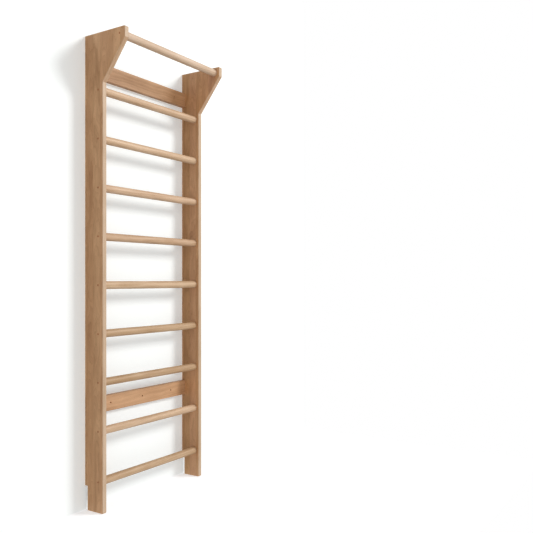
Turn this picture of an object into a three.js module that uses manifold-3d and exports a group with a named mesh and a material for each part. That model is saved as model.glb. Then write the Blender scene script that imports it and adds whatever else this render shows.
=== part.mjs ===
// Swedish wall bars: round rungs and a pull-up bar between two flared uprights, held to a wall by two back rails.
// Millimetres, +Z up. The origin is on the floor, under the middle of the overall box.
// The wall is the plane at the back, on the +Y side, and the front faces -Y.
// Left and right are as seen from the front, so left is -X. A depth is a distance out from the wall.

import * as THREE from 'three';
import { mergeVertices } from 'three/addons/utils/BufferGeometryUtils.js';
import Module from 'manifold-3d';

const wasm = await Module();
wasm.setup();

// Uprights
const height = 2300; // floor to top edge
const width = 730; // over the outer faces of both uprights
const boardThickness = 24;
const uprightDepth = 124; // wall to front edge
const flareReach = 148; // nose of the flared head past the front edge
const flareHeight = 240; // top edge down to where the slope meets the front edge
const noseHeight = 52; // upright front of the flared head
const noseRadius = 6;
const footRadius = 5;
const skirtingHeight = 118; // notch at the foot that clears a skirting board
const skirtingDepth = 18;
const arrisRadius = 2; // round-over along the edges of the uprights

// Rungs
const rungDiameter = 39;
const lowestRungHeight = 147; // floor to the axis of the lowest rung
const lowestGap = 242; // axis of the lowest rung to the axis of the next
const rungPitch = 234; // axis to axis of the rungs above
const topRungDrop = 230; // least drop from the top edge to the axis of the highest rung
const rungFrontWood = 13; // board left in front of a rung

// Pull-up bar
const barDiameter = 39;
const barNoseWood = 16.5; // board left in front of the bar
const barTopWood = 10.5; // board left above the bar

// Back rails
const railHeight = 80;
const railThickness = 24;
const railArris = 2; // round-over along the front edges of the rails
const lowerRailHeight = 500; // floor to the middle of the lower rail
const upperRailDrop = 152; // top edge to the middle of the upper rail

// Holes for the wall screws
const wallHoleDiameter = 8;
const wallHoleChamfer = 1;
const lowerHoleInset = 120; // end of the lower rail to its outer holes, with one more in the middle
const upperHoleInset = 90; // end of the upper rail to its two holes

// Screws through the uprights into the ends of the rungs and the bar
const screwLength = 60;
const screwHeadDiameter = 10;
const screwHeadHeight = 3.6; // rim and countersunk cone
const screwHeadRim = 0.6;
const screwShankDiameter = 5;
const screwPointLength = 5;
const screwRecess = 0.5; // head below the outer face of the upright
const hexSocketWidth = 4; // across the flats
const hexSocketDepth = 2;
const hexSides = 6;

// Dowels between the rails and the uprights
const dowelDiameter = 10;
const dowelLength = 50;
const dowelChamfer = 1;
const dowelEdge = 18; // edge of a rail to the axis of a dowel

// Joints
const socketWeb = 10; // board left behind a rung's socket
const dowelWeb = 8; // board left behind a dowel's hole
const fit = 0.3; // clearance between mating faces

// Fineness of the round shapes
const rungFacets = 24;
const holeFacets = 12;
const screwFacets = 12;
const arcSteps = 2;
const arrisSteps = 3;
const overcut = 2; // how far a cutter runs past the face it opens
const mergeTolerance = 1e-4;

// What follows from the sizes above
const clearWidth = width - 2 * boardThickness;
const wallY = (uprightDepth + flareReach) / 2;
const rungDepth = uprightDepth - rungFrontWood - rungDiameter / 2;
const barDepth = uprightDepth + flareReach - barNoseWood - barDiameter / 2;
const barHeight = height - barTopWood - barDiameter / 2;
const upperRailHeight = height - upperRailDrop;
const roundBarLength = width - 2 * socketWeb - 2 * fit;
const pilotDepth = screwRecess + screwLength - socketWeb;
const railLength = clearWidth - 2 * fit;
const dowelSeat = boardThickness - dowelWeb; // depth of a dowel's hole in the upright
const dowelRailSeat = dowelLength - dowelSeat + fit; // and in the end of the rail
const dowelOffset = railHeight / 2 - dowelEdge; // middle of a rail to the axis of a dowel

const rungHeights = [lowestRungHeight];
for (let z = lowestRungHeight + lowestGap; z <= height - topRungDrop; z += rungPitch) {
  rungHeights.push(z);
}

// Every round bar: its name, diameter, depth and height
const roundBars = rungHeights.map((z, i) => ({
  name: `rung_${i + 1}`,
  diameter: rungDiameter,
  depth: rungDepth,
  z,
}));
roundBars.push({ name: 'pull_up_bar', diameter: barDiameter, depth: barDepth, z: barHeight });

const rails = [
  { name: 'lower_back_rail', z: lowerRailHeight, holeInset: lowerHoleInset, middleHole: true },
  { name: 'upper_back_rail', z: upperRailHeight, holeInset: upperHoleInset, middleHole: false },
];

const sides = [
  { name: 'left', sign: -1 },
  { name: 'right', sign: 1 },
];

// A closed solid from a geometry: shared vertices merged, flat slivers at a lathe's poles dropped
function toSolid(geometry) {
  const bare = geometry.clone();
  bare.deleteAttribute('normal');
  bare.deleteAttribute('uv');
  const merged = mergeVertices(bare, mergeTolerance);
  const corners = Array.from(merged.index.array);
  const triangles = [];
  for (let i = 0; i < corners.length; i += 3) {
    const [a, b, c] = corners.slice(i, i + 3);
    if (a !== b && b !== c && c !== a) {
      triangles.push(a, b, c);
    }
  }
  return new wasm.Manifold(new wasm.Mesh({
    numProp: 3,
    vertProperties: new Float32Array(merged.attributes.position.array),
    triVerts: new Uint32Array(triangles),
  }));
}

// The geometry of a blank with every cutter taken out of it
function cutFrom(blank, cutters) {
  let solid = toSolid(blank);
  for (const cutter of cutters) {
    solid = solid.subtract(toSolid(cutter));
  }
  const mesh = solid.getMesh();
  const indexed = new THREE.BufferGeometry();
  indexed.setAttribute('position', new THREE.BufferAttribute(mesh.vertProperties, 3));
  indexed.setIndex(new THREE.BufferAttribute(mesh.triVerts, 1));
  const geometry = indexed.toNonIndexed();
  geometry.computeVertexNormals();
  return geometry;
}

// Outline through corners of [x, y, radius], in anticlockwise order, each corner rounded by its radius
function roundedShape(corners) {
  const shape = new THREE.Shape();
  corners.forEach(([x, y, radius], i) => {
    const corner = new THREE.Vector2(x, y);
    const [beforeX, beforeY] = corners.at(i - 1);
    const [afterX, afterY] = corners[(i + 1) % corners.length];
    const back = new THREE.Vector2(beforeX, beforeY).sub(corner).normalize();
    const ahead = new THREE.Vector2(afterX, afterY).sub(corner).normalize();
    const halfAngle = back.angleTo(ahead) / 2;
    const entry = corner.clone().addScaledVector(back, radius / Math.tan(halfAngle));
    const exit = corner.clone().addScaledVector(ahead, radius / Math.tan(halfAngle));
    if (i === 0) {
      shape.moveTo(entry.x, entry.y);
    } else {
      shape.lineTo(entry.x, entry.y);
    }
    if (radius > 0) {
      const inward = back.clone().add(ahead).normalize();
      const centre = corner.clone().addScaledVector(inward, radius / Math.sin(halfAngle));
      const from = entry.clone().sub(centre).angle();
      const to = exit.clone().sub(centre).angle();
      shape.absarc(centre.x, centre.y, radius, from, to, false);
    }
  });
  shape.closePath();
  return shape;
}

// Turns an outline drawn as depth across and height up, and extruded, to stand with its thickness along X
function standOnWall(geometry, thickness) {
  geometry.translate(0, 0, -thickness / 2);
  const outFromWall = new THREE.Vector3(0, -1, 0);
  const up = new THREE.Vector3(0, 0, 1);
  const sideways = new THREE.Vector3(-1, 0, 0);
  return geometry.applyMatrix4(new THREE.Matrix4().makeBasis(outFromWall, up, sideways));
}

// Round solid about X between two ends, at a depth and a height
function roundAlongX(diameter, from, to, depth, z, facets) {
  const geometry = new THREE.CylinderGeometry(diameter / 2, diameter / 2, Math.abs(to - from), facets);
  geometry.rotateZ(Math.PI / 2);
  return geometry.translate((from + to) / 2, -depth, z);
}

// Lathe of points [radius, distance along the axis], about Y
function turned(points, facets) {
  return new THREE.LatheGeometry(points.map(([radius, along]) => new THREE.Vector2(radius, along)), facets);
}

// Half outline of a screw from its head to its point, grown by a clearance
function screwProfile(clearance) {
  const headRadius = screwHeadDiameter / 2 + clearance;
  const shankRadius = screwShankDiameter / 2 + clearance;
  return [
    [headRadius, screwHeadRim],
    [shankRadius, screwHeadHeight],
    [shankRadius, screwLength - screwPointLength],
    [0, screwLength],
  ];
}

// Countersunk screw with a hexagon socket, head at the origin and point along +Y
function screwGeometry() {
  const headRadius = screwHeadDiameter / 2;
  const blank = turned([[0, 0], [headRadius, 0], ...screwProfile(0)], screwFacets);
  const hexRadius = hexSocketWidth / Math.sqrt(3);
  const socket = new THREE.CylinderGeometry(hexRadius, hexRadius, hexSocketDepth + overcut, hexSides);
  socket.translate(0, (hexSocketDepth - overcut) / 2, 0);
  return cutFrom(blank, [socket]);
}

// Hole for one screw through an upright, from its outer face
function screwHole(sign, depth, z) {
  const mouth = screwHeadDiameter / 2 + fit;
  const hole = turned([[0, -overcut], [mouth, -overcut], ...screwProfile(fit)], screwFacets);
  hole.rotateZ(sign * Math.PI / 2);
  return hole.translate(sign * (boardThickness / 2 - screwRecess), -depth, z);
}

// Upright, standing at the wall with its thickness centred on X
function uprightGeometry(sign) {
  const noseDepth = uprightDepth + flareReach;
  const outline = roundedShape([
    [skirtingDepth, 0, 0],
    [uprightDepth, 0, footRadius],
    [uprightDepth, height - flareHeight, 0],
    [noseDepth, height - noseHeight, noseRadius],
    [noseDepth, height, noseRadius],
    [0, height, 0],
    [0, skirtingHeight, 0],
    [skirtingDepth, skirtingHeight, 0],
  ]);
  const straight = boardThickness - 2 * arrisRadius;
  const board = new THREE.ExtrudeGeometry(outline, {
    depth: straight,
    bevelThickness: arrisRadius,
    bevelSize: arrisRadius,
    bevelOffset: -arrisRadius,
    bevelSegments: arrisSteps,
    curveSegments: arcSteps,
  });
  standOnWall(board, straight);
  const outerFace = sign * boardThickness / 2;
  const pastInnerFace = -sign * (boardThickness / 2 + overcut);
  const cutters = [];
  for (const bar of roundBars) {
    const floor = outerFace - sign * socketWeb;
    cutters.push(roundAlongX(bar.diameter + 2 * fit, pastInnerFace, floor, bar.depth, bar.z, rungFacets));
    cutters.push(screwHole(sign, bar.depth, bar.z));
  }
  for (const rail of rails) {
    for (const offset of [-dowelOffset, dowelOffset]) {
      const floor = outerFace - sign * dowelWeb;
      const hole = dowelDiameter + 2 * fit;
      cutters.push(roundAlongX(hole, pastInnerFace, floor, railThickness / 2, rail.z + offset, holeFacets));
    }
  }
  return cutFrom(board, cutters);
}

// Rung or pull-up bar about Y, with a pilot hole for a screw in each end
function roundBarGeometry(diameter) {
  const half = roundBarLength / 2;
  const radius = diameter / 2;
  const pilot = screwShankDiameter / 2 + fit;
  return turned([
    [0, -half + pilotDepth],
    [pilot, -half + pilotDepth],
    [pilot, -half],
    [radius, -half],
    [radius, half],
    [pilot, half],
    [pilot, half - pilotDepth],
    [0, half - pilotDepth],
  ], rungFacets);
}

// Hole for a wall screw, chamfered at the rail's front face
function wallHole(x) {
  const radius = wallHoleDiameter / 2;
  const mouth = radius + wallHoleChamfer;
  const hole = turned([
    [0, -overcut],
    [radius, -overcut],
    [radius, railThickness - wallHoleChamfer],
    [mouth, railThickness],
    [mouth, railThickness + overcut],
    [0, railThickness + overcut],
  ], holeFacets);
  hole.rotateZ(Math.PI);
  return hole.translate(x, 0, 0);
}

// Back rail, with its back on the wall and its length centred on X
function railGeometry(rail) {
  const outline = roundedShape([
    [0, -railHeight / 2, 0],
    [railThickness, -railHeight / 2, railArris],
    [railThickness, railHeight / 2, railArris],
    [0, railHeight / 2, 0],
  ]);
  const bar = new THREE.ExtrudeGeometry(outline, {
    depth: railLength,
    bevelEnabled: false,
    curveSegments: arcSteps,
  });
  standOnWall(bar, railLength);
  const outerHole = railLength / 2 - rail.holeInset;
  const cutters = [wallHole(-outerHole), wallHole(outerHole)];
  if (rail.middleHole) {
    cutters.push(wallHole(0));
  }
  for (const { sign } of sides) {
    const pastEnd = sign * (railLength / 2 + overcut);
    const floor = sign * (railLength / 2 - dowelRailSeat);
    for (const offset of [-dowelOffset, dowelOffset]) {
      const hole = dowelDiameter + 2 * fit;
      cutters.push(roundAlongX(hole, floor, pastEnd, railThickness / 2, offset, holeFacets));
    }
  }
  return cutFrom(bar, cutters);
}

// Dowel about Y with chamfered ends
function dowelGeometry() {
  const radius = dowelDiameter / 2;
  const half = dowelLength / 2;
  return turned([
    [0, -half],
    [radius - dowelChamfer, -half],
    [radius, -half + dowelChamfer],
    [radius, half - dowelChamfer],
    [radius - dowelChamfer, half],
    [0, half],
  ], holeFacets);
}

// Oiled beech, a little darker where it is end-grain dowel, and bronzed steel
function beech() {
  return new THREE.MeshStandardMaterial({ color: 0xc9a27c, roughness: 0.55, metalness: 0 });
}

function dowelWood() {
  return new THREE.MeshStandardMaterial({ color: 0xb48c66, roughness: 0.7, metalness: 0 });
}

function bronzedSteel() {
  return new THREE.MeshStandardMaterial({ color: 0xa0714f, roughness: 0.42, metalness: 1 });
}

const wallBars = new THREE.Group();
wallBars.name = 'wall_bars';

// Adds a named mesh at an X, a depth out from the wall and a height
function addPiece(name, geometry, material, x, depth, z) {
  const mesh = new THREE.Mesh(geometry, material);
  mesh.name = name;
  mesh.position.set(x, wallY - depth, z);
  wallBars.add(mesh);
  return mesh;
}

for (const { name, sign } of sides) {
  addPiece(`${name}_upright`, uprightGeometry(sign), beech(), sign * (width - boardThickness) / 2, 0, 0);
}

for (const bar of roundBars) {
  const mesh = addPiece(bar.name, roundBarGeometry(bar.diameter), beech(), 0, bar.depth, bar.z);
  mesh.rotation.z = Math.PI / 2;
  for (const { name, sign } of sides) {
    const x = sign * (width / 2 - screwRecess);
    const screw = addPiece(`${bar.name}_${name}_screw`, screwGeometry(), bronzedSteel(), x, bar.depth, bar.z);
    screw.rotation.z = sign * Math.PI / 2;
  }
}

for (const rail of rails) {
  addPiece(rail.name, railGeometry(rail), beech(), 0, 0, rail.z);
  for (const { name, sign } of sides) {
    const x = sign * (clearWidth / 2 + dowelSeat - fit - dowelLength / 2);
    for (const [place, offset] of [['lower', -dowelOffset], ['upper', dowelOffset]]) {
      const nodeName = `${rail.name}_${name}_${place}_dowel`;
      const dowel = addPiece(nodeName, dowelGeometry(), dowelWood(), x, railThickness / 2, rail.z + offset);
      dowel.rotation.z = Math.PI / 2;
    }
  }
}

export default wallBars;
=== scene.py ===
"""Swedish wall bars in oiled beech, standing against a white studio wall.

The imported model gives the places. Here its round shapes get their fine roundness and every surface its
finish. Lengths are in metres, +Z is up, the wall is on the +Y side and the front faces -Y. A depth is a
distance out from the wall.
"""

import math

import bmesh
import bpy
from mathutils import Matrix, Vector


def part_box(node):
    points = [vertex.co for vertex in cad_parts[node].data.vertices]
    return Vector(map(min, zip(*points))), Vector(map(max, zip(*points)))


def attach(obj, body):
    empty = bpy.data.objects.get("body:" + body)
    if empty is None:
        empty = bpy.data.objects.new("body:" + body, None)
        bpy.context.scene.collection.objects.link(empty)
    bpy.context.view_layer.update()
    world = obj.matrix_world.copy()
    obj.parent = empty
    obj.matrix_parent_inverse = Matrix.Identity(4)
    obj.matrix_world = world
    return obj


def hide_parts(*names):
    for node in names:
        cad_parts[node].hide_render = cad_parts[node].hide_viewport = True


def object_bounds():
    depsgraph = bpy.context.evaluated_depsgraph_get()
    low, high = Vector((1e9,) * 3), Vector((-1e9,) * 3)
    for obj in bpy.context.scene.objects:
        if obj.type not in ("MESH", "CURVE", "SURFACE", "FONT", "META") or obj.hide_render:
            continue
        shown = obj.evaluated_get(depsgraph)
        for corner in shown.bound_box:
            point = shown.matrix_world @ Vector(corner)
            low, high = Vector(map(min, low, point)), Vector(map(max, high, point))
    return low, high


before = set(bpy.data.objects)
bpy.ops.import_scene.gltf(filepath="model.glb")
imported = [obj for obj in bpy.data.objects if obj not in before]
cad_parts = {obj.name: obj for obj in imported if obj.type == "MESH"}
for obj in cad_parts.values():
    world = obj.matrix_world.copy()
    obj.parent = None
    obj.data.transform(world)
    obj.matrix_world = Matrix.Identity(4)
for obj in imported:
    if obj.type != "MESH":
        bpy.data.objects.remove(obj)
cad_low, cad_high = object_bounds()

# Places that the frame gives
wall_y = cad_high.y
floor_z = cad_low.z
top_z = cad_high.z
nose_depth = cad_high.y - cad_low.y
rung_nodes = sorted(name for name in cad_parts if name.removeprefix("rung_").isdigit())
bar_nodes = [*rung_nodes, "pull_up_bar"]
screw_nodes = sorted(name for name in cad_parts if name.endswith("_screw"))
dowel_nodes = sorted(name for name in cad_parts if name.endswith("_dowel"))

# Outline of an upright
front_depth = 0.124
flare_height = 0.240  # top edge down to where the slope meets the front edge
nose_height = 0.052
nose_radius = 0.006
foot_radius = 0.005
skirting_height = 0.118
skirting_depth = 0.018
arris = 0.002  # round-over along the edges of the boards

# Joints
fit = 0.0003  # clearance between mating faces
socket_web = 0.010  # board left behind a rung's socket
dowel_web = 0.008  # board left behind a dowel's hole

# Holes for the wall screws, evenly spaced along each rail
wall_hole_radius = 0.004
wall_hole_chamfer = 0.001
lower_hole_inset = 0.120  # end of the lower rail to its outer holes
lower_hole_count = 3
upper_hole_inset = 0.090  # end of the upper rail to its outer holes
upper_hole_count = 2

# Screws
screw_head_radius = 0.005
screw_head_rim = 0.0006
screw_head_height = 0.0036
screw_shank_radius = 0.0025
screw_point_length = 0.005
screw_tip_radius = 0.0003
hex_sides = 6
hex_socket_radius = 0.0023  # middle to corner
hex_socket_depth = 0.002

# Making of the shapes
round_steps = 64
small_steps = 32
corner_steps = 6
arris_steps = 4
round_profile = 0.5
overcut = 0.002  # how far a cutter reaches past the face that it opens
sharp_angle = math.radians(35)

# Seeds of what is left to chance
rung_seed = 2007
bar_seed = 11
screw_seed = 5

# Woods that the pieces are cut from
stave_width = 0.046
stave_start = 0.3  # where the first glue line falls, as a share of a stave
left_wood = 24  # numbers that pick the woods of the two boards' staves
right_wood = 64
trunk_count = 1000  # a bar's wood is picked from about as many numbers

# How much lighter or darker than the middle one stave, rung or rail may be, as a share
stave_spread = 0.06
rung_spread = 0.12
bar_spread = 0.0
rail_spread = 0.02
hue_spread = 0.003  # and how much redder or yellower, as a share of the colour circle
middle_hue = 0.5

# Figure of beech: cells in millimetres across, through and along the grain, and widths in millimetres
stray_cells = (60, 60, 240)
cloud_cells = (45, 45, 170)
fibre_cells = (0.8, 0.8, 45)  # drawn at twice their width so that a close view shows them
fleck_cells = (1.3, 1.3, 8)  # drawn at twice their size so that a close view shows them
ring_width = 3
band_width = 11
figure_detail = 2.0  # finer layers in the noise
band_detail = 1.0
late_wood_power = 3.0  # how narrow the dark end of a growth ring is
fleck_start, fleck_full = 0.60, 0.70  # noise at which a fleck begins and is at its darkest

# Where one wood lies in its trunk, in metres and radians: the least, and what chance adds at most
pith_least = (0.03, -0.015, 0)
pith_spread = (0.04, 0.03, 0)
lean_least = (-0.01, 0.018, 0)
lean_spread = (0.02, 0.035, 0)
wood_spread = (0.3, 0.3, 7.0)  # how far apart in their trunks the woods are cut
stray_reach = (0.03, 0.03, 0)  # how far the grain strays

# Shares of the layers in the tone, and the start that keeps the middle tone near a half
band_share = 1.1
cloud_share = 1.2
late_wood_share = 0.35
fibre_share = 0.6
tone_start = -1.1

# Surface of the wood
wood_ior = 1.5
oiled_roughness = (0.44, 0.56)  # on the palest and on the darkest wood
fibre_relief = 0.0002
relief_strength = 0.15
fleck_strength = 0.35
edge_and_sheen_turn = (0.1, 0.5)  # how far a face looks forwards where the pale edge, with its painted sheen, begins and is full
slanted_edge_and_sheen_share = 0.3  # of the pale edge and its painted sheen that is left where a cut looks straight up or down
end_turn = (0.6, 1.0)  # how far a face looks up or down where the end grain begins and is full
end_grain_strength = 0.45

# Surface of the screws
steel_cloud_cells = (2, 2, 2)
steel_cloud_detail = 3.0
steel_roughness = 0.42

# Stage and light
stage_reach = 1.7
stage_height = 3.2
stage_gap = 0.0005  # keeps the paper off the faces that stand on it
contact_gap = 0.01  # the paper is clear to light that comes from nearer than this
wall_glow = 0.225
floor_glow = 0.52
light_target = Vector((0, 0, 1.15))
key_place = Vector((5.2, -8.1, 6.9))
key_size = 2.9
key_power = 645
light_from_above = 0.13
light_from_front = 0.69
light_from_below = 0.45
above_start, above_full = 0.3, 0.9  # Z of the direction at which the light from above begins and is alone
below_start, below_full = -0.4, -0.85  # and the same of the light from below
left_side_gain = 1.4  # how much brighter the room is on the left
left_side_start = 0.0  # X of the direction at which it starts to brighten

# Camera, level, at the photograph's place
camera_place = (-2.5362, -2.3882, 1.1162)
camera_heading = math.radians(57.8085)  # from straight at the wall, to the right
sensor_width = 36
focal_length = 44.2221
horizon_shift = 0.0252  # the horizon lies that share of the picture below its middle
sideways_shift = -0.0374  # the lens axis lies that share of the picture right of its middle


# Meshes

def middle(node):
    """The middle of a node's box."""
    low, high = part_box(node)
    return (low + high) / 2


def round_radius(node):
    """Radius of a node that is round about an axis along X."""
    low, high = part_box(node)
    return (high.z - low.z) / 2


def new_object(name, shape):
    """A mesh object at the origin from a bmesh, with its faces turned outwards."""
    bmesh.ops.recalc_face_normals(shape, faces=shape.faces)
    mesh = bpy.data.meshes.new(name)
    shape.to_mesh(mesh)
    shape.free()
    made = bpy.data.objects.new(name, mesh)
    bpy.context.scene.collection.objects.link(made)
    return made


def apply_modifiers(piece):
    """Puts what the modifiers make into the piece's own mesh."""
    graph = bpy.context.evaluated_depsgraph_get()
    rough = piece.data
    piece.data = bpy.data.meshes.new_from_object(piece.evaluated_get(graph), depsgraph=graph)
    piece.data.name = piece.name
    piece.modifiers.clear()
    bpy.data.meshes.remove(rough)


def cut_away(piece, cutter_shapes):
    """Takes each bmesh of cutters out of the piece."""
    for shape in cutter_shapes:
        cutter = new_object("cutter", shape)
        cut = piece.modifiers.new("cut", "BOOLEAN")
        cut.operation = "DIFFERENCE"
        cut.solver = "MANIFOLD"
        cut.object = cutter
        apply_modifiers(piece)
        bpy.data.meshes.remove(cutter.data)


def finish_board(piece, finish):
    """Gives a cut board its finish, smooth over the rounds, with flat faces kept flat and edges sharp."""
    piece.data.shade_smooth()
    piece.data.set_sharp_from_angle(angle=sharp_angle)
    weighted = piece.modifiers.new("flat faces", "WEIGHTED_NORMAL")
    weighted.keep_sharp = True
    apply_modifiers(piece)
    piece.data.materials.clear()
    piece.data.materials.append(finish)


def rounded_outline(corners):
    """Outline points through anticlockwise corners of (across, up, radius)."""
    points = []
    for i, (across, up, radius) in enumerate(corners):
        corner = Vector((across, up))
        if radius == 0:
            points.append(corner)
            continue
        before = (Vector(corners[i - 1][:2]) - corner).normalized()
        after = (Vector(corners[(i + 1) % len(corners)][:2]) - corner).normalized()
        half_angle = before.angle(after) / 2
        centre = corner + (before + after).normalized() * radius / math.sin(half_angle)
        start = corner + before * radius / math.tan(half_angle) - centre
        sweep = math.pi - 2 * half_angle
        for step in range(corner_steps + 1):
            points.append(centre + Matrix.Rotation(sweep * step / corner_steps, 2) @ start)
    return points


def board(name, outline, from_x, to_x, edge_round):
    """A board with its outline in depth and height, its thickness along X and its rims rounded over."""
    shape = bmesh.new()
    corners = [shape.verts.new((from_x, wall_y - depth, height)) for depth, height in outline]
    face = shape.faces.new(corners)
    far_side = bmesh.ops.extrude_face_region(shape, geom=[face])["geom"]
    moved = [part for part in far_side if isinstance(part, bmesh.types.BMVert)]
    bmesh.ops.translate(shape, verts=moved, vec=(to_x - from_x, 0, 0))
    if edge_round > 0:
        rims = [edge for edge in shape.edges if edge.verts[0].co.x == edge.verts[1].co.x]
        bmesh.ops.bevel(
            shape, geom=rims, offset=edge_round, offset_type="OFFSET", segments=arris_steps,
            profile=round_profile, affect="EDGES", clamp_overlap=False,
        )
    return new_object(name, shape)


def add_turned(shape, profile, place, steps):
    """Adds a closed turned solid.

    profile holds (along, radius), and place takes the X axis to where the solid goes.
    """
    rings = []
    for along, radius in profile:
        ring = []
        for step in range(steps):
            angle = 2 * math.pi * step / steps
            point = Vector((along, radius * math.cos(angle), radius * math.sin(angle)))
            ring.append(shape.verts.new(place @ point))
        rings.append(ring)
    for ring, following in zip(rings, rings[1:]):
        for step in range(steps):
            after = (step + 1) % steps
            shape.faces.new((ring[step], ring[after], following[after], following[step]))
    shape.faces.new(rings[0])
    shape.faces.new(rings[-1])


# Node trees

# Places of sockets that share a name with others: of a Mix node that mixes colours
mix_factor, mix_a, mix_b, mixed = 0, 6, 7, 2
# and of a Random Value node that gives a number
random_most, random_number = 3, 1


def add_node(tree, kind, inputs=None, **settings):
    """One node with its settings; each input is a value, or another node's output to link."""
    made = tree.nodes.new(kind)
    for name, value in settings.items():
        setattr(made, name, value)
    for socket, value in (inputs or {}).items():
        if isinstance(value, bpy.types.NodeSocket):
            tree.links.new(value, made.inputs[socket])
        else:
            made.inputs[socket].default_value = value
    return made


def new_geometry_tree(name, inputs):
    """A Geometry Nodes tree that takes and gives geometry, with further named inputs."""
    tree = bpy.data.node_groups.new(name, "GeometryNodeTree")
    tree.interface.new_socket("Geometry", in_out="INPUT", socket_type="NodeSocketGeometry")
    for label, kind in inputs.items():
        tree.interface.new_socket(label, in_out="INPUT", socket_type=kind)
    tree.interface.new_socket("Geometry", in_out="OUTPUT", socket_type="NodeSocketGeometry")
    return tree


def grow(name, points, tree, values):
    """A piece that a tree makes from points, with the tree's named inputs set, turned into a plain mesh."""
    shape = bmesh.new()
    for point in points:
        shape.verts.new(point)
    piece = new_object(name, shape)
    modifier = piece.modifiers.new(tree.name, "NODES")
    modifier.node_group = tree
    for item in tree.interface.items_tree:
        if item.in_out == "INPUT" and item.name in values:
            modifier[item.identifier] = values[item.name]
    apply_modifiers(piece)
    piece.data.materials.pop(index=0)  # the empty slot of the bare points
    piece.data.shade_smooth()
    piece.data.set_sharp_from_angle(angle=sharp_angle)
    return piece


def round_bars_tree():
    """Round bars along X, one centred on each point, each with its own place in the wood."""
    tree = new_geometry_tree("round_bars", {
        "Length": "NodeSocketFloat",
        "Diameter": "NodeSocketFloat",
        "Facets": "NodeSocketInt",
        "Seed": "NodeSocketInt",
        "Material": "NodeSocketMaterial",
    })
    given = add_node(tree, "NodeGroupInput").outputs
    radius = add_node(tree, "ShaderNodeMath", {0: given["Diameter"], 1: 0.5}, operation="MULTIPLY")
    blank = add_node(tree, "GeometryNodeMeshCylinder", {
        "Vertices": given["Facets"],
        "Radius": radius.outputs[0],
        "Depth": given["Length"],
    })
    laid = add_node(tree, "GeometryNodeTransform", {
        "Geometry": blank.outputs["Mesh"],
        "Rotation": (0, math.pi / 2, 0),
    })
    place = add_node(tree, "GeometryNodeInputPosition")
    marked = add_node(tree, "GeometryNodeStoreNamedAttribute", {
        "Geometry": laid.outputs[0],
        "Name": "grain_place",
        "Value": place.outputs[0],
    }, data_type="FLOAT_VECTOR", domain="POINT")
    copies = add_node(tree, "GeometryNodeInstanceOnPoints", {
        "Points": given["Geometry"],
        "Instance": marked.outputs[0],
    })
    chance = add_node(tree, "FunctionNodeRandomValue", {"Seed": given["Seed"]}, data_type="FLOAT")
    numbered = add_node(tree, "GeometryNodeStoreNamedAttribute", {
        "Geometry": copies.outputs[0],
        "Name": "shade",
        "Value": chance.outputs[random_number],
    }, data_type="FLOAT", domain="INSTANCE")
    solid = add_node(tree, "GeometryNodeRealizeInstances", {"Geometry": numbered.outputs[0]})
    finished = add_node(tree, "GeometryNodeSetMaterial", {
        "Geometry": solid.outputs[0],
        "Material": given["Material"],
    })
    add_node(tree, "NodeGroupOutput", {"Geometry": finished.outputs[0]})
    return tree


def screws_tree():
    """A copy of one screw at each point, turned to its side and rolled by chance."""
    tree = new_geometry_tree("screws", {
        "Screw": "NodeSocketObject",
        "Seed": "NodeSocketInt",
        "Material": "NodeSocketMaterial",
    })
    given = add_node(tree, "NodeGroupInput").outputs
    pattern = add_node(tree, "GeometryNodeObjectInfo", {"Object": given["Screw"]})
    roll = add_node(tree, "FunctionNodeRandomValue", {
        random_most: 2 * math.pi / hex_sides,
        "Seed": given["Seed"],
    }, data_type="FLOAT")
    point = add_node(tree, "GeometryNodeInputPosition")
    place = add_node(tree, "ShaderNodeSeparateXYZ", {0: point.outputs[0]})
    on_the_right = add_node(tree, "ShaderNodeMath", {
        0: place.outputs["X"], 1: 0.0,
    }, operation="GREATER_THAN")
    half_turn = add_node(tree, "ShaderNodeMath", {
        0: on_the_right.outputs[0], 1: math.pi,
    }, operation="MULTIPLY")
    turn = add_node(tree, "ShaderNodeCombineXYZ", {
        "X": roll.outputs[random_number], "Z": half_turn.outputs[0],
    })
    copies = add_node(tree, "GeometryNodeInstanceOnPoints", {
        "Points": given["Geometry"],
        "Instance": pattern.outputs["Geometry"],
        "Rotation": turn.outputs[0],
    })
    solid = add_node(tree, "GeometryNodeRealizeInstances", {"Geometry": copies.outputs[0]})
    finished = add_node(tree, "GeometryNodeSetMaterial", {
        "Geometry": solid.outputs[0],
        "Material": given["Material"],
    })
    add_node(tree, "NodeGroupOutput", {"Geometry": finished.outputs[0]})
    return tree


# Finishes

def linear(colour):
    """An sRGB hex colour as linear RGBA."""
    shares = [int(colour[i:i + 2], 16) / 255 for i in (1, 3, 5)]
    return (*[s / 12.92 if s <= 0.04045 else ((s + 0.055) / 1.055) ** 2.4 for s in shares], 1)


def new_material(name):
    """A material without nodes, and its tree."""
    material = bpy.data.materials.new(name)
    material.use_nodes = True
    material.node_tree.nodes.clear()
    return material, material.node_tree


def stretched_noise(tree, place, cells, detail):
    """Noise whose cells measure these millimetres along X, Y and Z."""
    scaled = add_node(tree, "ShaderNodeMapping", {
        "Vector": place, "Scale": [1000 / millimetres for millimetres in cells],
    })
    return add_node(tree, "ShaderNodeTexNoise", {
        "Vector": scaled.outputs[0], "Scale": 1.0, "Detail": detail,
    }).outputs


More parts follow.
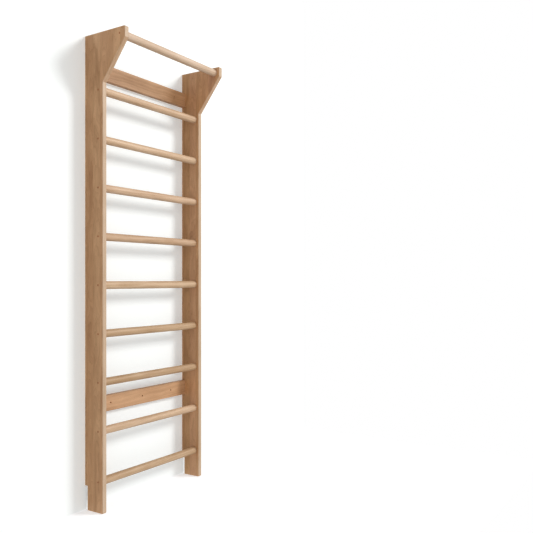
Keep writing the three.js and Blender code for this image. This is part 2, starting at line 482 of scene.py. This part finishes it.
def distance_from_pith(tree, place, wood, own):
    """How far a point lies from the middle of its trunk, where the growth rings start."""
    # The pith lies 3 to 7 cm off and leans by 1 to 3 degrees, so that the rings run out in cathedrals
    pith = add_node(tree, "ShaderNodeVectorMath", {
        0: own, 1: pith_spread, 2: pith_least,
    }, operation="MULTIPLY_ADD")
    lean = add_node(tree, "ShaderNodeVectorMath", {
        0: own, 1: lean_spread, 2: lean_least,
    }, operation="MULTIPLY_ADD")
    ring_place = add_node(tree, "ShaderNodeMapping", {
        "Vector": place, "Location": pith.outputs[0], "Rotation": lean.outputs[0],
    })
    # The grain strays by about a centimetre over a hand's length
    stray = stretched_noise(tree, wood, stray_cells, figure_detail)
    strayed = add_node(tree, "ShaderNodeVectorMath", {
        0: stray["Color"], 1: stray_reach, 2: ring_place.outputs[0],
    }, operation="MULTIPLY_ADD")
    across_grain = add_node(tree, "ShaderNodeVectorMath", {
        0: strayed.outputs[0], 1: (1, 1, 0),
    }, operation="MULTIPLY")
    length = add_node(tree, "ShaderNodeVectorMath", {0: across_grain.outputs[0]}, operation="LENGTH")
    return length.outputs["Value"]


def beech_figure(tree, place, number):
    """The figure of beech with its grain along Z.

    place is measured from the middle of a stave, rail or bar, and number picks another trunk for each of
    them. Gives a tone from 0 to 1, the ray flecks, the fibres, and three chance numbers of this wood's own.
    """
    own = add_node(tree, "ShaderNodeTexWhiteNoise", {"W": number}, noise_dimensions="1D").outputs["Color"]
    shift = add_node(tree, "ShaderNodeVectorMath", {0: own, 1: wood_spread}, operation="MULTIPLY")
    wood = add_node(tree, "ShaderNodeVectorMath", {0: place, 1: shift.outputs[0]}).outputs[0]
    from_pith = distance_from_pith(tree, place, wood, own)

    # Bands of fat and lean years
    years = add_node(tree, "ShaderNodeMath", {0: from_pith, 1: 1000 / band_width}, operation="MULTIPLY")
    bands = add_node(tree, "ShaderNodeTexNoise", {
        "W": years.outputs[0], "Scale": 1.0, "Detail": band_detail,
    }, noise_dimensions="1D").outputs[0]
    # Growth rings, darkest at their late wood
    ring_count = add_node(tree, "ShaderNodeMath", {
        0: from_pith, 1: 1000 / ring_width,
    }, operation="MULTIPLY")
    ring_share = add_node(tree, "ShaderNodeMath", {0: ring_count.outputs[0]}, operation="FRACT")
    late_wood = add_node(tree, "ShaderNodeMath", {
        0: ring_share.outputs[0], 1: late_wood_power,
    }, operation="POWER").outputs[0]
    # Clouds of tone, three fingers wide, and fibres
    clouds = stretched_noise(tree, wood, cloud_cells, figure_detail)[0]
    fibres = stretched_noise(tree, wood, fibre_cells, figure_detail)[0]
    # Ray flecks, the short dark dashes of beech
    flecks = add_node(tree, "ShaderNodeMapRange", {
        "Value": stretched_noise(tree, wood, fleck_cells, figure_detail)[0],
        "From Min": fleck_start,
        "From Max": fleck_full,
    }).outputs[0]

    layers = (
        (bands, band_share),
        (clouds, cloud_share),
        (late_wood, late_wood_share),
        (fibres, fibre_share),
    )
    tone = tone_start
    for layer, share in layers:
        total = add_node(tree, "ShaderNodeMath", {0: layer, 1: share, 2: tone}, operation="MULTIPLY_ADD")
        tone = total.outputs[0]
    total.use_clamp = True
    return tone, flecks, fibres, own


def oiled_surface(tree, colour, tone, fibres):
    """A satin oiled wood surface: roughness follows the tone, and the fibres stand a little proud."""
    least_rough, most_rough = oiled_roughness
    roughness = add_node(tree, "ShaderNodeMapRange", {
        "Value": tone, "To Min": least_rough, "To Max": most_rough,
    })
    relief = add_node(tree, "ShaderNodeBump", {
        "Strength": relief_strength, "Distance": fibre_relief, "Height": fibres,
    })
    surface = add_node(tree, "ShaderNodeBsdfPrincipled", {
        "Base Color": colour,
        "Roughness": roughness.outputs[0],
        "IOR": wood_ior,
        "Normal": relief.outputs[0],
    })
    add_node(tree, "ShaderNodeOutputMaterial", {"Surface": surface.outputs[0]})


def flecked(tree, colour, flecks):
    """The colour with the dark ray flecks on it."""
    share = add_node(tree, "ShaderNodeMath", {0: flecks, 1: fleck_strength}, operation="MULTIPLY")
    return add_node(tree, "ShaderNodeMix", {
        mix_factor: share.outputs[0], mix_a: colour, mix_b: linear("#8C6140"),
    }, data_type="RGBA").outputs[mixed]


def tinted(tree, colour, own, shade, spread):
    """The colour with the tint of one stave or piece.

    It is a little redder or yellower by chance, and lighter or darker by its shade.
    """
    chance = add_node(tree, "ShaderNodeSeparateXYZ", {0: own})
    hue = add_node(tree, "ShaderNodeMapRange", {
        "Value": chance.outputs["Z"], "To Min": middle_hue - hue_spread, "To Max": middle_hue + hue_spread,
    })
    value = add_node(tree, "ShaderNodeMapRange", {
        "Value": shade, "To Min": 1 - spread, "To Max": 1 + spread,
    })
    fullness = add_node(tree, "ShaderNodeMapRange", {
        "Value": shade, "To Min": 1 + spread / 2, "To Max": 1 - spread / 2,
    })
    return add_node(tree, "ShaderNodeHueSaturation", {
        "Hue": hue.outputs[0],
        "Saturation": fullness.outputs[0],
        "Value": value.outputs[0],
        "Color": colour,
    }).outputs[0]


def stave_grain(tree):
    """Where a point lies in its stave, and the stave's number.

    Staves lie side by side from the wall to the nose; the right board is cut from other wood than the left.
    """
    here = add_node(tree, "ShaderNodeTexCoord").outputs["Object"]
    along = add_node(tree, "ShaderNodeSeparateXYZ", {0: here}).outputs
    stave = add_node(tree, "ShaderNodeMath", {
        0: along["Y"], 1: 1 / stave_width, 2: stave_start,
    }, operation="MULTIPLY_ADD").outputs[0]
    in_order = add_node(tree, "ShaderNodeMath", {0: stave}, operation="FLOOR")
    right = add_node(tree, "ShaderNodeMath", {0: along["X"], 1: 0.0}, operation="GREATER_THAN")
    first_wood = add_node(tree, "ShaderNodeMapRange", {
        "Value": right.outputs[0], "To Min": left_wood, "To Max": right_wood,
    })
    number = add_node(tree, "ShaderNodeMath", {0: in_order.outputs[0], 1: first_wood.outputs[0]})
    share = add_node(tree, "ShaderNodeMath", {0: stave}, operation="FRACT")
    across = add_node(tree, "ShaderNodeMath", {
        0: share.outputs[0], 1: stave_width, 2: -stave_width / 2,
    }, operation="MULTIPLY_ADD")
    from_middle = add_node(tree, "ShaderNodeMath", {0: along["X"]}, operation="ABSOLUTE")
    through = add_node(tree, "ShaderNodeMath", {
        0: from_middle.outputs[0], 1: cad_high.x,
    }, operation="SUBTRACT")
    place = add_node(tree, "ShaderNodeCombineXYZ", {
        "X": through.outputs[0], "Y": across.outputs[0], "Z": along["Z"],
    })
    return place.outputs[0], number.outputs[0]


def oiled_beech_boards():
    """Edge-glued beech staves, planed and oiled.

    The flat-sawn faces are warm, the edges paler from their quarter-sawn grain and from a painted sheen of
    the key light, and the end grain darker.
    """
    material, tree = new_material("oiled_beech_boards")
    place, number = stave_grain(tree)
    tone, flecks, fibres, own = beech_figure(tree, place, number)
    face = add_node(tree, "ShaderNodeMix", {
        mix_factor: tone, mix_a: linear("#DCAB7D"), mix_b: linear("#B38158"),
    }, data_type="RGBA")
    # Pale edge colour: the quarter-sawn grain of the edges together with painted sheen, a painted highlight
    # of the key light on faces that look forwards or back
    edge = add_node(tree, "ShaderNodeMix", {
        mix_factor: tone, mix_a: linear("#D8BB9E"), mix_b: linear("#B89876"),
    }, data_type="RGBA")
    normal = add_node(tree, "ShaderNodeNewGeometry").outputs["Normal"]
    facing = add_node(tree, "ShaderNodeSeparateXYZ", {0: normal}).outputs
    forwards = add_node(tree, "ShaderNodeMath", {0: facing["Y"]}, operation="ABSOLUTE")
    upwards = add_node(tree, "ShaderNodeMath", {0: facing["Z"]}, operation="ABSOLUTE")
    edge_start, edge_full = edge_and_sheen_turn
    edge_share = add_node(tree, "ShaderNodeMapRange", {
        "Value": forwards.outputs[0], "From Min": edge_start, "From Max": edge_full,
    })
    # The slanting cut of the heads runs across the grain and shows less of the pale edge and its painted
    # sheen
    slant = add_node(tree, "ShaderNodeMapRange", {
        "Value": upwards.outputs[0], "To Min": 1.0, "To Max": slanted_edge_and_sheen_share,
    })
    pale_edge_and_sheen_share = add_node(tree, "ShaderNodeMath", {
        0: edge_share.outputs[0], 1: slant.outputs[0],
    }, operation="MULTIPLY")
    # The face colour turns to the pale edge colour, with its painted sheen, where a face looks forwards or
    # back
    colour = add_node(tree, "ShaderNodeMix", {
        mix_factor: pale_edge_and_sheen_share.outputs[0], mix_a: face.outputs[mixed], mix_b: edge.outputs[mixed],
    }, data_type="RGBA")
    end_start, end_full = end_turn
    end_share = add_node(tree, "ShaderNodeMapRange", {
        "Value": upwards.outputs[0],
        "From Min": end_start,
        "From Max": end_full,
        "To Max": end_grain_strength,
    })
    colour = add_node(tree, "ShaderNodeMix", {
        mix_factor: end_share.outputs[0], mix_a: colour.outputs[mixed], mix_b: linear("#9A7250"),
    }, data_type="RGBA")
    colour = flecked(tree, colour.outputs[mixed], flecks)
    shade = add_node(tree, "ShaderNodeSeparateXYZ", {0: own}).outputs["X"]
    oiled_surface(tree, tinted(tree, colour, own, shade, stave_spread), tone, fibres)
    return material


def bar_grain(tree):
    """Where a point lies in its own bar, the bar's shade, and its number."""
    place = add_node(tree, "ShaderNodeAttribute", attribute_name="grain_place").outputs["Vector"]
    shade = add_node(tree, "ShaderNodeAttribute", attribute_name="shade").outputs["Fac"]
    number = add_node(tree, "ShaderNodeMath", {0: shade, 1: trunk_count}, operation="MULTIPLY")
    return place, shade, number.outputs[0]


def rail_grain(tree):
    """Where a point lies in its rail, and the rail's shade and number: 1 on the lower rail, else 0."""
    lower_z = middle("lower_back_rail").z
    upper_z = middle("upper_back_rail").z
    here = add_node(tree, "ShaderNodeTexCoord").outputs["Object"]
    along = add_node(tree, "ShaderNodeSeparateXYZ", {0: here}).outputs
    lower = add_node(tree, "ShaderNodeMath", {
        0: along["Z"], 1: (lower_z + upper_z) / 2,
    }, operation="LESS_THAN").outputs[0]
    drop = add_node(tree, "ShaderNodeMapRange", {"Value": lower, "To Min": -upper_z, "To Max": -lower_z})
    raised = add_node(tree, "ShaderNodeMath", {0: along["Z"], 1: drop.outputs[0]})
    depth = add_node(tree, "ShaderNodeMath", {0: along["Y"], 1: -wall_y})
    place = add_node(tree, "ShaderNodeCombineXYZ", {
        "X": along["X"], "Y": depth.outputs[0], "Z": raised.outputs[0],
    })
    return place.outputs[0], lower, lower


def oiled_beech_lengths(name, grain, light, dark, spread):
    """Beech with its grain along X, turned or planed and oiled: fine lines and flecks run lengthwise."""
    material, tree = new_material(name)
    place, shade, number = grain(tree)
    upright_grain = add_node(tree, "ShaderNodeMapping", {
        "Vector": place, "Rotation": (0, -math.pi / 2, 0),
    })
    tone, flecks, fibres, own = beech_figure(tree, upright_grain.outputs[0], number)
    colour = add_node(tree, "ShaderNodeMix", {
        mix_factor: tone, mix_a: linear(light), mix_b: linear(dark),
    }, data_type="RGBA")
    colour = flecked(tree, colour.outputs[mixed], flecks)
    oiled_surface(tree, tinted(tree, colour, own, shade, spread), tone, fibres)
    return material


def bronzed_steel():
    """Furniture screws with a thin bronze finish: a dull brown metal with a faint cloudiness."""
    material, tree = new_material("bronzed_steel")
    place = add_node(tree, "ShaderNodeTexCoord").outputs["Object"]
    clouds = stretched_noise(tree, place, steel_cloud_cells, steel_cloud_detail)
    colour = add_node(tree, "ShaderNodeMix", {
        mix_factor: clouds[0], mix_a: linear("#C1855C"), mix_b: linear("#916043"),
    }, data_type="RGBA")
    surface = add_node(tree, "ShaderNodeBsdfPrincipled", {
        "Base Color": colour.outputs[mixed],
        "Metallic": 1.0,
        "Roughness": steel_roughness,
    })
    add_node(tree, "ShaderNodeOutputMaterial", {"Surface": surface.outputs[0]})
    return material


def seen_by_eye(tree):
    """1 for a ray by which the camera, gloss or glass sees a surface, 0 for one that only carries light."""
    path = add_node(tree, "ShaderNodeLightPath").outputs
    seen = add_node(tree, "ShaderNodeMath", {
        0: path["Is Camera Ray"], 1: path["Is Glossy Ray"],
    }, operation="MAXIMUM")
    return add_node(tree, "ShaderNodeMath", {
        0: seen.outputs[0], 1: path["Is Transmission Ray"],
    }, operation="MAXIMUM").outputs[0]


def studio_paper(name, colour, glow, bounce):
    """Matt paper of the stage: white to the eye, with the object's shadow on it.

    bounce is the colour of the light that it throws back, or None for a lit table that lets the room's
    light through. The back is clear, so that it never hides the object, and light passes where a piece
    stands right against it.
    """
    material, tree = new_material(name)
    seen = seen_by_eye(tree)
    strength = add_node(tree, "ShaderNodeMath", {0: seen, 1: glow}, operation="MULTIPLY")
    matt = add_node(tree, "ShaderNodeBsdfDiffuse", {"Color": linear(colour)})
    white = add_node(tree, "ShaderNodeEmission", {
        "Color": linear("#FFFFFF"), "Strength": strength.outputs[0],
    })
    paper = add_node(tree, "ShaderNodeAddShader", {0: matt.outputs[0], 1: white.outputs[0]})
    clear = add_node(tree, "ShaderNodeBsdfTransparent")
    if bounce is None:
        lit = clear
    else:
        lit = add_node(tree, "ShaderNodeBsdfDiffuse", {"Color": linear(bounce)})
    paper = add_node(tree, "ShaderNodeMixShader", {0: seen, 1: lit.outputs[0], 2: paper.outputs[0]})
    ray_length = add_node(tree, "ShaderNodeLightPath").outputs["Ray Length"]
    apart = add_node(tree, "ShaderNodeMath", {0: ray_length, 1: contact_gap}, operation="GREATER_THAN")
    behind = add_node(tree, "ShaderNodeNewGeometry").outputs["Backfacing"]
    solid = add_node(tree, "ShaderNodeMath", {
        0: apart.outputs[0], 1: behind,
    }, operation="SUBTRACT", use_clamp=True)
    surface = add_node(tree, "ShaderNodeMixShader", {
        0: solid.outputs[0], 1: clear.outputs[0], 2: paper.outputs[0],
    })
    add_node(tree, "ShaderNodeOutputMaterial", {"Surface": surface.outputs[0]})
    return material


board_beech = oiled_beech_boards()
rung_beech = oiled_beech_lengths("oiled_beech_rungs", bar_grain, "#DBBA97", "#AC855D", rung_spread)
bar_beech = oiled_beech_lengths("oiled_beech_bar", bar_grain, "#E3C9B0", "#C3A17D", bar_spread)
rail_beech = oiled_beech_lengths("oiled_beech_rails", rail_grain, "#D8AA7F", "#AE8057", rail_spread)
steel = bronzed_steel()
wall_paper = studio_paper("white_wall_paper", "#F0F4F3", wall_glow, "#A4A4A2")
floor_paper = studio_paper("white_floor_paper", "#EEF2F6", floor_glow, None)


# Uprights

def screw_profile(length, clearance):
    """Half outline of a countersunk screw from its head to its point."""
    head = screw_head_radius + clearance
    shank = screw_shank_radius + clearance
    return [
        (0, head),
        (screw_head_rim, head),
        (screw_head_height, shank),
        (length - screw_point_length, shank),
        (length, screw_tip_radius + clearance),
    ]


def upright(side):
    """One flared upright, drilled for its rungs, screws and dowels."""
    name = f"{side}_upright"
    low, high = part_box(name)
    outline = rounded_outline([
        (skirting_depth, floor_z, 0),
        (front_depth, floor_z, foot_radius),
        (front_depth, top_z - flare_height, 0),
        (nose_depth, top_z - nose_height, nose_radius),
        (nose_depth, top_z, nose_radius),
        (0, top_z, 0),
        (0, floor_z + skirting_height, 0),
        (skirting_depth, floor_z + skirting_height, 0),
    ])
    piece = board(f"{name}_board", outline, low.x, high.x, arris)

    on_the_right = side == "right"
    inner_x = low.x if on_the_right else high.x
    board_thickness = high.x - low.x
    inward = Matrix.Rotation(math.pi, 4, "Z") if on_the_right else Matrix.Identity(4)
    sockets = bmesh.new()
    screw_holes = bmesh.new()
    for node in bar_nodes:
        axis = middle(node)
        radius = round_radius(node) + fit
        mouth = Matrix.Translation((inner_x, axis.y, axis.z)) @ inward
        add_turned(sockets, [(socket_web - board_thickness, radius), (overcut, radius)], mouth, round_steps)
        screw_low, screw_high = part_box(f"{node}_{side}_screw")
        head_x = screw_high.x if on_the_right else screw_low.x
        head = Matrix.Translation((head_x, axis.y, axis.z)) @ inward
        profile = screw_profile(screw_high.x - screw_low.x, fit)
        add_turned(screw_holes, [(-overcut, screw_head_radius + fit), *profile], head, small_steps)
    for node in dowel_nodes:
        if f"_{side}_" not in node:
            continue
        axis = middle(node)
        radius = round_radius(node) + fit
        mouth = Matrix.Translation((inner_x, axis.y, axis.z)) @ inward
        add_turned(sockets, [(dowel_web - board_thickness, radius), (overcut, radius)], mouth, small_steps)
    cut_away(piece, [sockets, screw_holes])
    finish_board(piece, board_beech)
    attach(piece, "root")
    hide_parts(name)


upright("left")
upright("right")


# Back rails

def back_rail(name, hole_inset, hole_count):
    """One flat rail on the wall, its front edges rounded over, drilled for wall screws and dowels."""
    low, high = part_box(name)
    thickness = high.y - low.y
    outline = rounded_outline([
        (0, low.z, 0),
        (thickness, low.z, arris),
        (thickness, high.z, arris),
        (0, high.z, 0),
    ])
    piece = board(f"{name}_board", outline, low.x, high.x, 0)

    holes = bmesh.new()
    to_the_wall = Matrix.Rotation(math.pi / 2, 4, "Z")
    mouth_radius = wall_hole_radius + wall_hole_chamfer
    first_x = low.x + hole_inset
    last_x = high.x - hole_inset
    for i in range(hole_count):
        x = first_x + (last_x - first_x) * i / (hole_count - 1)
        face = Matrix.Translation((x, low.y, middle(name).z)) @ to_the_wall
        add_turned(holes, [
            (-overcut, mouth_radius),
            (0, mouth_radius),
            (wall_hole_chamfer, wall_hole_radius),
            (thickness + overcut, wall_hole_radius),
        ], face, small_steps)
    for node in dowel_nodes:
        if not node.startswith(name):
            continue
        dowel_low, dowel_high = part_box(node)
        radius = round_radius(node) + fit
        axis = Matrix.Translation((0, middle(node).y, middle(node).z))
        add_turned(holes, [(dowel_low.x - fit, radius), (dowel_high.x + fit, radius)], axis, small_steps)
    cut_away(piece, [holes])
    finish_board(piece, rail_beech)
    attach(piece, "root")
    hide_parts(name)


back_rail("lower_back_rail", lower_hole_inset, lower_hole_count)
back_rail("upper_back_rail", upper_hole_inset, upper_hole_count)


# Rungs and pull-up bar

def round_bars(name, nodes, tree, seed, finish):
    """The round bars that stand for these nodes, as one piece."""
    low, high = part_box(nodes[0])
    piece = grow(name, [middle(node) for node in nodes], tree, {
        "Length": high.x - low.x,
        "Diameter": 2 * round_radius(nodes[0]),
        "Facets": round_steps,
        "Seed": seed,
        "Material": finish,
    })
    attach(piece, "root")
    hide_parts(*nodes)


bars_tree = round_bars_tree()
round_bars("rungs", rung_nodes, bars_tree, rung_seed, rung_beech)
round_bars("pull_up_bar_turned", ["pull_up_bar"], bars_tree, bar_seed, bar_beech)


# Screws and dowels

def one_screw():
    """A countersunk screw with a hexagon socket, its head at the origin and its point along +X."""
    low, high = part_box(screw_nodes[0])
    as_turned = Matrix.Identity(4)
    shape = bmesh.new()
    add_turned(shape, screw_profile(high.x - low.x, 0), as_turned, small_steps)
    screw = new_object("one_screw", shape)
    socket = bmesh.new()
    socket_profile = [(-overcut, hex_socket_radius), (hex_socket_depth, hex_socket_radius)]
    add_turned(socket, socket_profile, as_turned, hex_sides)
    cut_away(screw, [socket])
    return screw


def screw_head(node):
    """The middle of a screw's head, at its outer end."""
    low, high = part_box(node)
    outer_x = high.x if high.x > 0 else low.x
    return Vector((outer_x, middle(node).y, middle(node).z))


pattern_screw = one_screw()
screws = grow("screws", [screw_head(node) for node in screw_nodes], screws_tree(), {
    "Screw": pattern_screw,
    "Seed": screw_seed,
    "Material": steel,
})
bpy.data.meshes.remove(pattern_screw.data)
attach(screws, "root")
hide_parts(*screw_nodes)

for node in dowel_nodes:
    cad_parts[node].material_slots[0].material = rail_beech


# Stage, light and camera

def sheet_of_paper(name, paper, corners):
    """A flat sheet of the stage that faces the side from which its corners run anticlockwise."""
    mesh = bpy.data.meshes.new(name)
    mesh.from_pydata(corners, [], [range(len(corners))])
    mesh.materials.append(paper)
    sheet = bpy.data.objects.new(name, mesh)
    bpy.context.scene.collection.objects.link(sheet)


sheet_of_paper("studio_wall", wall_paper, [
    (-stage_reach, wall_y + stage_gap, floor_z),
    (stage_reach, wall_y + stage_gap, floor_z),
    (stage_reach, wall_y + stage_gap, stage_height),
    (-stage_reach, wall_y + stage_gap, stage_height),
])
sheet_of_paper("studio_floor", floor_paper, [
    (-stage_reach, wall_y - stage_reach, floor_z - stage_gap),
    (stage_reach, wall_y - stage_reach, floor_z - stage_gap),
    (stage_reach, wall_y + stage_gap, floor_z - stage_gap),
    (-stage_reach, wall_y + stage_gap, floor_z - stage_gap),
])

key_light = bpy.data.lights.new("key_light", "AREA")
key_light.size = key_size
key_light.energy = key_power
key_stand = bpy.data.objects.new("key_light", key_light)
key_stand.location = key_place
key_stand.rotation_euler = (light_target - key_place).to_track_quat("-Z", "Y").to_euler()
bpy.context.scene.collection.objects.link(key_stand)


def white_room():
    """Soft light from all round, less from below and least from above, that shows as plain white."""
    world = bpy.data.worlds.new("white_room")
    world.use_nodes = True
    tree = world.node_tree
    tree.nodes.clear()
    direction = add_node(tree, "ShaderNodeTexCoord").outputs["Generated"]
    towards = add_node(tree, "ShaderNodeSeparateXYZ", {0: direction}).outputs
    lower = add_node(tree, "ShaderNodeMapRange", {
        "Value": towards["Z"],
        "From Min": below_full,
        "From Max": below_start,
        "To Min": light_from_below,
        "To Max": light_from_front,
    })
    upper = add_node(tree, "ShaderNodeMapRange", {
        "Value": towards["Z"],
        "From Min": above_start,
        "From Max": above_full,
        "To Max": light_from_above - light_from_front,
    })
    gain = add_node(tree, "ShaderNodeMapRange", {
        "Value": towards["X"],
        "From Min": -1.0,
        "From Max": left_side_start,
        "To Min": left_side_gain,
        "To Max": 1.0,
    })
    even = add_node(tree, "ShaderNodeMath", {0: lower.outputs[0], 1: upper.outputs[0]})
    light = add_node(tree, "ShaderNodeMath", {0: even.outputs[0], 1: gain.outputs[0]}, operation="MULTIPLY")
    strength = add_node(tree, "ShaderNodeMath", {
        0: seen_by_eye(tree), 1: light.outputs[0],
    }, operation="MAXIMUM")
    background = add_node(tree, "ShaderNodeBackground", {
        "Color": linear("#FFFFFF"),
        "Strength": strength.outputs[0],
    })
    add_node(tree, "ShaderNodeOutputWorld", {"Surface": background.outputs[0]})
    return world


bpy.context.scene.world = white_room()
bpy.context.scene.view_settings.view_transform = "Standard"

lens = bpy.data.cameras.new("camera")
lens.sensor_width = sensor_width
lens.lens = focal_length
lens.shift_x = sideways_shift
lens.shift_y = horizon_shift
camera = bpy.data.objects.new("camera", lens)
camera.location = camera_place
camera.rotation_euler = (math.pi / 2, 0, -camera_heading)
bpy.context.scene.collection.objects.link(camera)
bpy.context.scene.camera = camera
